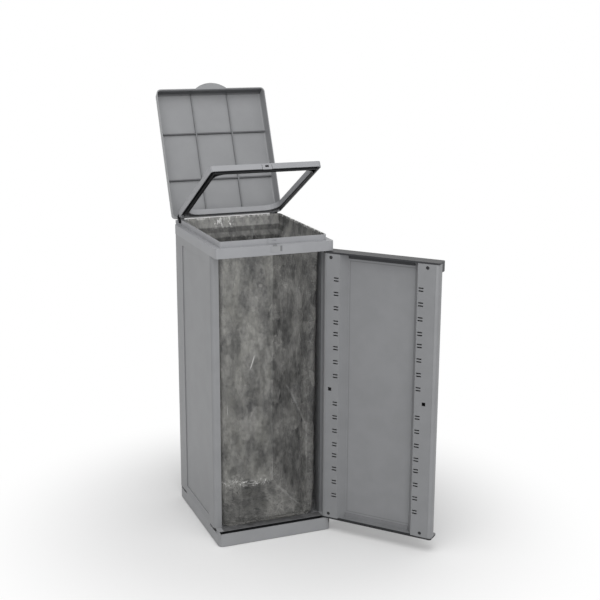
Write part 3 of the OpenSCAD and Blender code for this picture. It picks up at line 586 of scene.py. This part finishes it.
# Height, left and right at the front, left and right at the back, front, back, corner radius
# and depth of the folds
SACK_SECTIONS = [
    (34, -140, 136, -126, 100, -138, 132, 16, 2.0),
    (46, -143, 138, -138, 112, -148.5, 146, 18, 2.5),
    (120, -145, 141, -141, 116, -147, 152, 14, 3.0),
    (430, -145.5, 143, -142, 121, -147, 158, 14, 3.5),
    (700, -145.5, 144, -143, 127, -147, 162, 12, 3.0),
    (800, -145.5, 145, -144, 136, -147, 168, 8, 1.5),
    (826, -146, 146, -146, 146, -146.4, 172, 5, 0.5),
    (850, -149.4, 149.4, -149.4, 149.4, -175.4, 175.4, 4.2, 0.2),
    (863, -149.7, 149.7, -149.7, 149.7, -175.7, 175.7, 4.2, 0.0),
]
COLUMNS = 460
RIM = 863.0
HEIGHTS = ([36, 37.6, 40, 43, 46, 49, 53, 58, 64, 71, 80] + [90 + 10 * i for i in range(72)]
           + [806, 813, 820, 826, 832, 840, 848, 855, RIM])

# Broad folds, ridges and fine creases draw the film in. Their noise runs this fast round the
# sack, across it and up it
BROAD_ROUND = 6.4
BROAD_UP = 0.0052
RIDGE_ACROSS = 0.045
RIDGE_UP = 0.014
FINE_ACROSS = 0.11
FINE_UP = 0.05

# The open side swells into the door's recess, this far and over this half width and height,
# and dies away over these runs at its sides, foot and head
LOOKS_FRONT = -0.7
BULGE = 20.5
BULGE_HALF = 106
BULGE_MID = -2
BULGE_LOW = 45
BULGE_HIGH = 792
BULGE_SIDE_RUN = 26
BULGE_FOOT_RUN = 11
BULGE_HEAD_RUN = 90

# Its foot lies forward over the sill, low enough for the shut door's cap
FOOT = 33
FOOT_HALF = 132
FOOT_TOP = 38.5
FOOT_SIDE_RUN = 20
FOOT_HEAD_RUN = 2.5

# The sack's floor, drawn together towards this point, with low crumples and a raised edge
FLOOR_Z = 33.0
FLOOR_MID = (-6, -2)
FLOOR_RINGS = 14
FLOOR_CRUMPLE = 1.6
FLOOR_LIFT = 0.5
FLOOR_EDGE = 2.0

# The hem goes up over the collar's rim, across it and down its outside. It starts behind the
# collar's front right corner and right of its back left corner
HEM_UP = 4.7
HEM_ACROSS = 5.5
HEM_REACH = 22.5
HEM_RAGGED = 2.4
HEM_LEAST = 0.8
HEM_STEPS = 22
HEM_FRONT_END = -171
HEM_FRONT_RUN = 12
HEM_LEFT_END = -138
HEM_LEFT_RUN = 14
HEM_FREE = 6.5
COLLAR_SIDE = 140
COLLAR_BACK = 165


def rounded(x0, y0, x1, y1, r, count):
    """Points round a rounded rectangle, anticlockwise from the middle of the right side,
    each with its outward normal."""
    straight_y = (y1 - y0) - 2 * r
    straight_x = (x1 - x0) - 2 * r
    arc = math.pi * r / 2
    runs = [("line", (x1, (y0 + y1) / 2), (0, 1), straight_y / 2),
            ("arc", (x1 - r, y1 - r), 0, arc),
            ("line", (x1 - r, y1), (-1, 0), straight_x),
            ("arc", (x0 + r, y1 - r), 90, arc),
            ("line", (x0, y1 - r), (0, -1), straight_y),
            ("arc", (x0 + r, y0 + r), 180, arc),
            ("line", (x0 + r, y0), (1, 0), straight_x),
            ("arc", (x1 - r, y0 + r), 270, arc),
            ("line", (x1, y0 + r), (0, 1), straight_y / 2)]
    total = sum(run[3] for run in runs)
    out = []
    for i in range(count):
        s = total * i / count
        for kind, place, way, length in runs:
            if s <= length:
                break
            s -= length
        if kind == "line":
            out.append((place[0] + way[0] * s, place[1] + way[1] * s, way[1], -way[0]))
        else:
            a = math.radians(way + 90 * s / length)
            out.append((place[0] + r * math.cos(a), place[1] + r * math.sin(a),
                        math.cos(a), math.sin(a)))
    return out


def ease(t):
    """Smoothly from zero at 0 to one at 1."""
    t = min(1.0, max(0.0, t))
    return t * t * (3 - 2 * t)


def mix(a, b, t):
    return a + (b - a) * t


def sack_section(z):
    """The sack's section at height z, all but the height, between the two listed ones."""
    for low, high in zip(SACK_SECTIONS, SACK_SECTIONS[1:]):
        if z <= high[0]:
            break
    t = min(1.0, max(0.0, (z - low[0]) / (high[0] - low[0])))
    return [mix(a, b, t) for a, b in zip(low, high)][1:]


def swell(x, z):
    """How far the open side stands forward at this place: its bulge and its foot."""
    off = abs(x - BULGE_MID)
    bulge = (BULGE * ease((BULGE_HALF - off) / BULGE_SIDE_RUN)
             * ease((z - BULGE_LOW) / BULGE_FOOT_RUN) * ease((BULGE_HIGH - z) / BULGE_HEAD_RUN))
    foot = (FOOT * ease((FOOT_HALF - off) / FOOT_SIDE_RUN)
            * ease((FOOT_TOP - z) / FOOT_HEAD_RUN))
    return bulge + foot


def sack_ring(z):
    """One ring of the sack at height z, drawn in by folds and creases."""
    fl, fr, bl, br, front, back, r, fold = sack_section(z)
    ring = []
    for i, (x, y, nx, ny) in enumerate(rounded(fl, front, fr, back, r, COLUMNS)):
        share = (y - front) / (back - front)
        u = (x - fl) / (fr - fl)
        x = mix(mix(fl, bl, share), mix(fr, br, share), u)
        a = 2 * math.pi * i / COLUMNS
        tall = Vector((math.cos(a) * BROAD_ROUND, math.sin(a) * BROAD_ROUND, z * BROAD_UP))
        at_ridge = Vector((x * RIDGE_ACROSS, y * RIDGE_ACROSS, z * RIDGE_UP))
        at_fine = Vector((x * FINE_ACROSS, y * FINE_ACROSS, z * FINE_UP))
        broad = noise.fractal(tall, 0.9, 2.0, 3)
        ridge = 1 - abs(noise.noise(at_ridge)) * 2.2
        fine = 1 - abs(noise.noise(at_fine)) * 2.0
        drawn = fold * (0.7 * max(0.0, broad + 0.4) + 0.6 * max(0.0, ridge) + 0.3 * max(0.0, fine))
        if ny < LOOKS_FRONT:
            y -= swell(x, z)
        ring.append((x - nx * drawn, y - ny * drawn, z))
    return ring


def floor_ring(share):
    """A ring of the sack's floor, from its middle at 0 to its edge at 1."""
    ring = []
    for x, y, z in sack_ring(HEIGHTS[0]):
        px, py = mix(FLOOR_MID[0], x, share), mix(FLOOR_MID[1], y, share)
        crumple = abs(noise.noise(Vector((px * 0.03, py * 0.03, 4))))
        lift = FLOOR_CRUMPLE * crumple + FLOOR_LIFT
        ring.append((px, py, FLOOR_Z + lift + FLOOR_EDGE * share ** 6))
    return ring


def hem_reach(x, y):
    """How far the film is folded out over the collar: along the right and back sides only."""
    right = ease((y - HEM_FRONT_END) / HEM_FRONT_RUN) if x > COLLAR_SIDE else 0.0
    back = ease((x - HEM_LEFT_END) / HEM_LEFT_RUN) if y > COLLAR_BACK else 0.0
    ragged = noise.fractal(Vector((x * 0.03, y * 0.03, 3.1)), 0.8, 2.0, 3)
    return max(right, back) * (HEM_REACH + HEM_RAGGED * ragged)


def hem_place(x, y, nx, ny, d):
    """A point of the hem, d millimetres along its way over the collar. It clings to the rim,
    puffs up a little across it, and hangs free below."""
    along = x if abs(ny) > abs(nx) else y
    puff = 0.5 + 0.5 * noise.noise(Vector((along * 0.16, d * 0.20, 7)))
    fine = noise.noise(Vector((along * 0.42, d * 0.36, 1.3)))
    top = RIM + HEM_UP + 0.15
    if d <= HEM_UP:
        out = 0.1 * puff
        z = RIM + d
    elif d <= HEM_UP + HEM_ACROSS:
        t = (d - HEM_UP) / HEM_ACROSS
        out = HEM_ACROSS * t
        z = top + 0.85 * (0.35 + 0.65 * puff) * math.sin(math.pi * t) ** 0.6
    else:
        down = d - HEM_UP - HEM_ACROSS
        free = ease((down - HEM_FREE) / 4)
        out = HEM_ACROSS + 0.05 + 0.42 * puff + free * (0.9 * puff + 0.5 * fine)
        z = top - down
    return x + nx * out, y + ny * out, z


def draw_up(shape, column, edges, places):
    """Extrudes a row of edges once and sets each new point in its column's place."""
    made = bmesh.ops.extrude_edge_only(shape, edges=edges)["geom"]
    for item in made:
        if isinstance(item, bmesh.types.BMVert):
            item.co = Vector(places[item[column]]) / 1000
    return [item for item in made if isinstance(item, bmesh.types.BMEdge)
            and abs(item.verts[0][column] - item.verts[1][column]) in (1, COLUMNS - 1)]


def make_sack(film_mat):
    shape = bmesh.new()
    column = shape.verts.layers.int.new("column")
    bmesh.ops.create_circle(shape, cap_ends=False, segments=COLUMNS, radius=0.01)
    shape.verts.ensure_lookup_table()
    first = floor_ring(1 / (FLOOR_RINGS + 1))
    for i, vert in enumerate(shape.verts):
        vert[column] = i
        vert.co = Vector(first[i]) / 1000
    edges = list(shape.edges)
    bmesh.ops.contextual_create(shape, geom=edges)
    for k in range(2, FLOOR_RINGS + 1):
        edges = draw_up(shape, column, edges, floor_ring(k / (FLOOR_RINGS + 1)))
    for z in HEIGHTS:
        edges = draw_up(shape, column, edges, sack_ring(z))

    # The hem leaves out the columns where it would have no length
    fl, fr, bl, br, front, back, r, fold = sack_section(RIM)
    rim = rounded(fl, front, fr, back, r, COLUMNS)
    reach = [hem_reach(x, y) for x, y, nx, ny in rim]
    edges = [edge for edge in edges if all(reach[v[column]] >= HEM_LEAST for v in edge.verts)]
    for k in range(1, HEM_STEPS + 1):
        places = [hem_place(*point, far * k / HEM_STEPS) for point, far in zip(rim, reach)]
        edges = draw_up(shape, column, edges, places)
    bmesh.ops.recalc_face_normals(shape, faces=shape.faces)
    sack = new_piece("sack_film", shape, film_mat)
    for face in sack.data.polygons:
        face.use_smooth = True
    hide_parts("sack")
    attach(sack, "cabinet")


make_sack(film("blown_polythene_film"))


# Floor, backdrop and light

FLOOR_HALF = 9.0
FLOOR_DROP = 0.0004
FLOOR_SEEN = 0.82
FLOOR_UNSEEN = "#c8c8c8"
SHADOW_MID = (0.05, -0.1, 0)
SHADOW_NEAR = 0.35
SHADOW_FAR = 0.95
WHITE = (1, 1, 1, 1)
SKY = 0.66
LAMP_AIM = (0, 0, 0.5)


def seen_paths(tree):
    """One for rays from the camera and for those by way of a glossy or clear surface."""
    path = add(tree, "ShaderNodeLightPath")
    seen = add(tree, "ShaderNodeMath", {
        0: path.outputs["Is Camera Ray"], 1: path.outputs["Is Glossy Ray"]}, operation="MAXIMUM")
    return add(tree, "ShaderNodeMath", {0: seen, 1: path.outputs["Is Transmission Ray"]},
               operation="MAXIMUM")


def make_floor():
    """Plain pale floor: it keeps the cabinet's soft shadow close by, and is white farther out."""
    mat, tree = new_material("pale_floor")
    seen = seen_paths(tree)
    at = add(tree, "ShaderNodeTexCoord").outputs["Object"]
    away = add(tree, "ShaderNodeVectorMath", {0: at, 1: SHADOW_MID}, operation="DISTANCE")
    away = add(tree, "ShaderNodeMapRange", {
        "Value": away.outputs["Value"], "From Min": SHADOW_NEAR, "From Max": SHADOW_FAR},
        interpolation_type="SMOOTHSTEP")
    shade = add(tree, "ShaderNodeMix", {
        SHARE: seen, FIRST: linear(FLOOR_UNSEEN), SECOND: (FLOOR_SEEN, FLOOR_SEEN, FLOOR_SEEN, 1)},
        data_type="RGBA").outputs[MIXED]
    near = add(tree, "ShaderNodeBsdfDiffuse", {"Color": shade})
    far = add(tree, "ShaderNodeEmission", {"Color": WHITE, "Strength": 1.0})
    blend = add(tree, "ShaderNodeMixShader", {0: both(tree, away, seen), 1: near, 2: far})
    add(tree, "ShaderNodeOutputMaterial", {"Surface": blend})

    shape = bmesh.new()
    bmesh.ops.create_grid(shape, x_segments=1, y_segments=1, size=FLOOR_HALF)
    bmesh.ops.translate(shape, verts=shape.verts, vec=(0, 0, -FLOOR_DROP))
    new_piece("floor", shape, mat)


def make_light(name, place, size, power):
    light = bpy.data.lights.new(name, "AREA")
    light.shape = "RECTANGLE"
    light.size, light.size_y = size
    light.energy = power
    obj = bpy.data.objects.new(name, light)
    obj.location = place
    way = Vector(LAMP_AIM) - Vector(place)
    obj.rotation_euler = way.to_track_quat("-Z", "Y").to_euler()
    bpy.context.scene.collection.objects.link(obj)


def make_world():
    """Even soft light from all round, seen as plain white."""
    world = bpy.data.worlds.new("studio")
    bpy.context.scene.world = world
    world.use_nodes = True
    tree = world.node_tree
    tree.nodes.clear()
    soft = add(tree, "ShaderNodeBackground", {"Color": WHITE, "Strength": SKY})
    white = add(tree, "ShaderNodeBackground", {"Color": WHITE, "Strength": 1.0})
    blend = add(tree, "ShaderNodeMixShader", {0: seen_paths(tree), 1: soft, 2: white})
    add(tree, "ShaderNodeOutputWorld", {"Surface": blend})


make_floor()
make_world()
make_light("above", (-0.7, -1.3, 3.4), (3.0, 2.6), 49)
make_light("front", (-0.3, -2.7, 0.9), (1.8, 1.4), 20)
bpy.context.scene.view_settings.view_transform = "Standard"
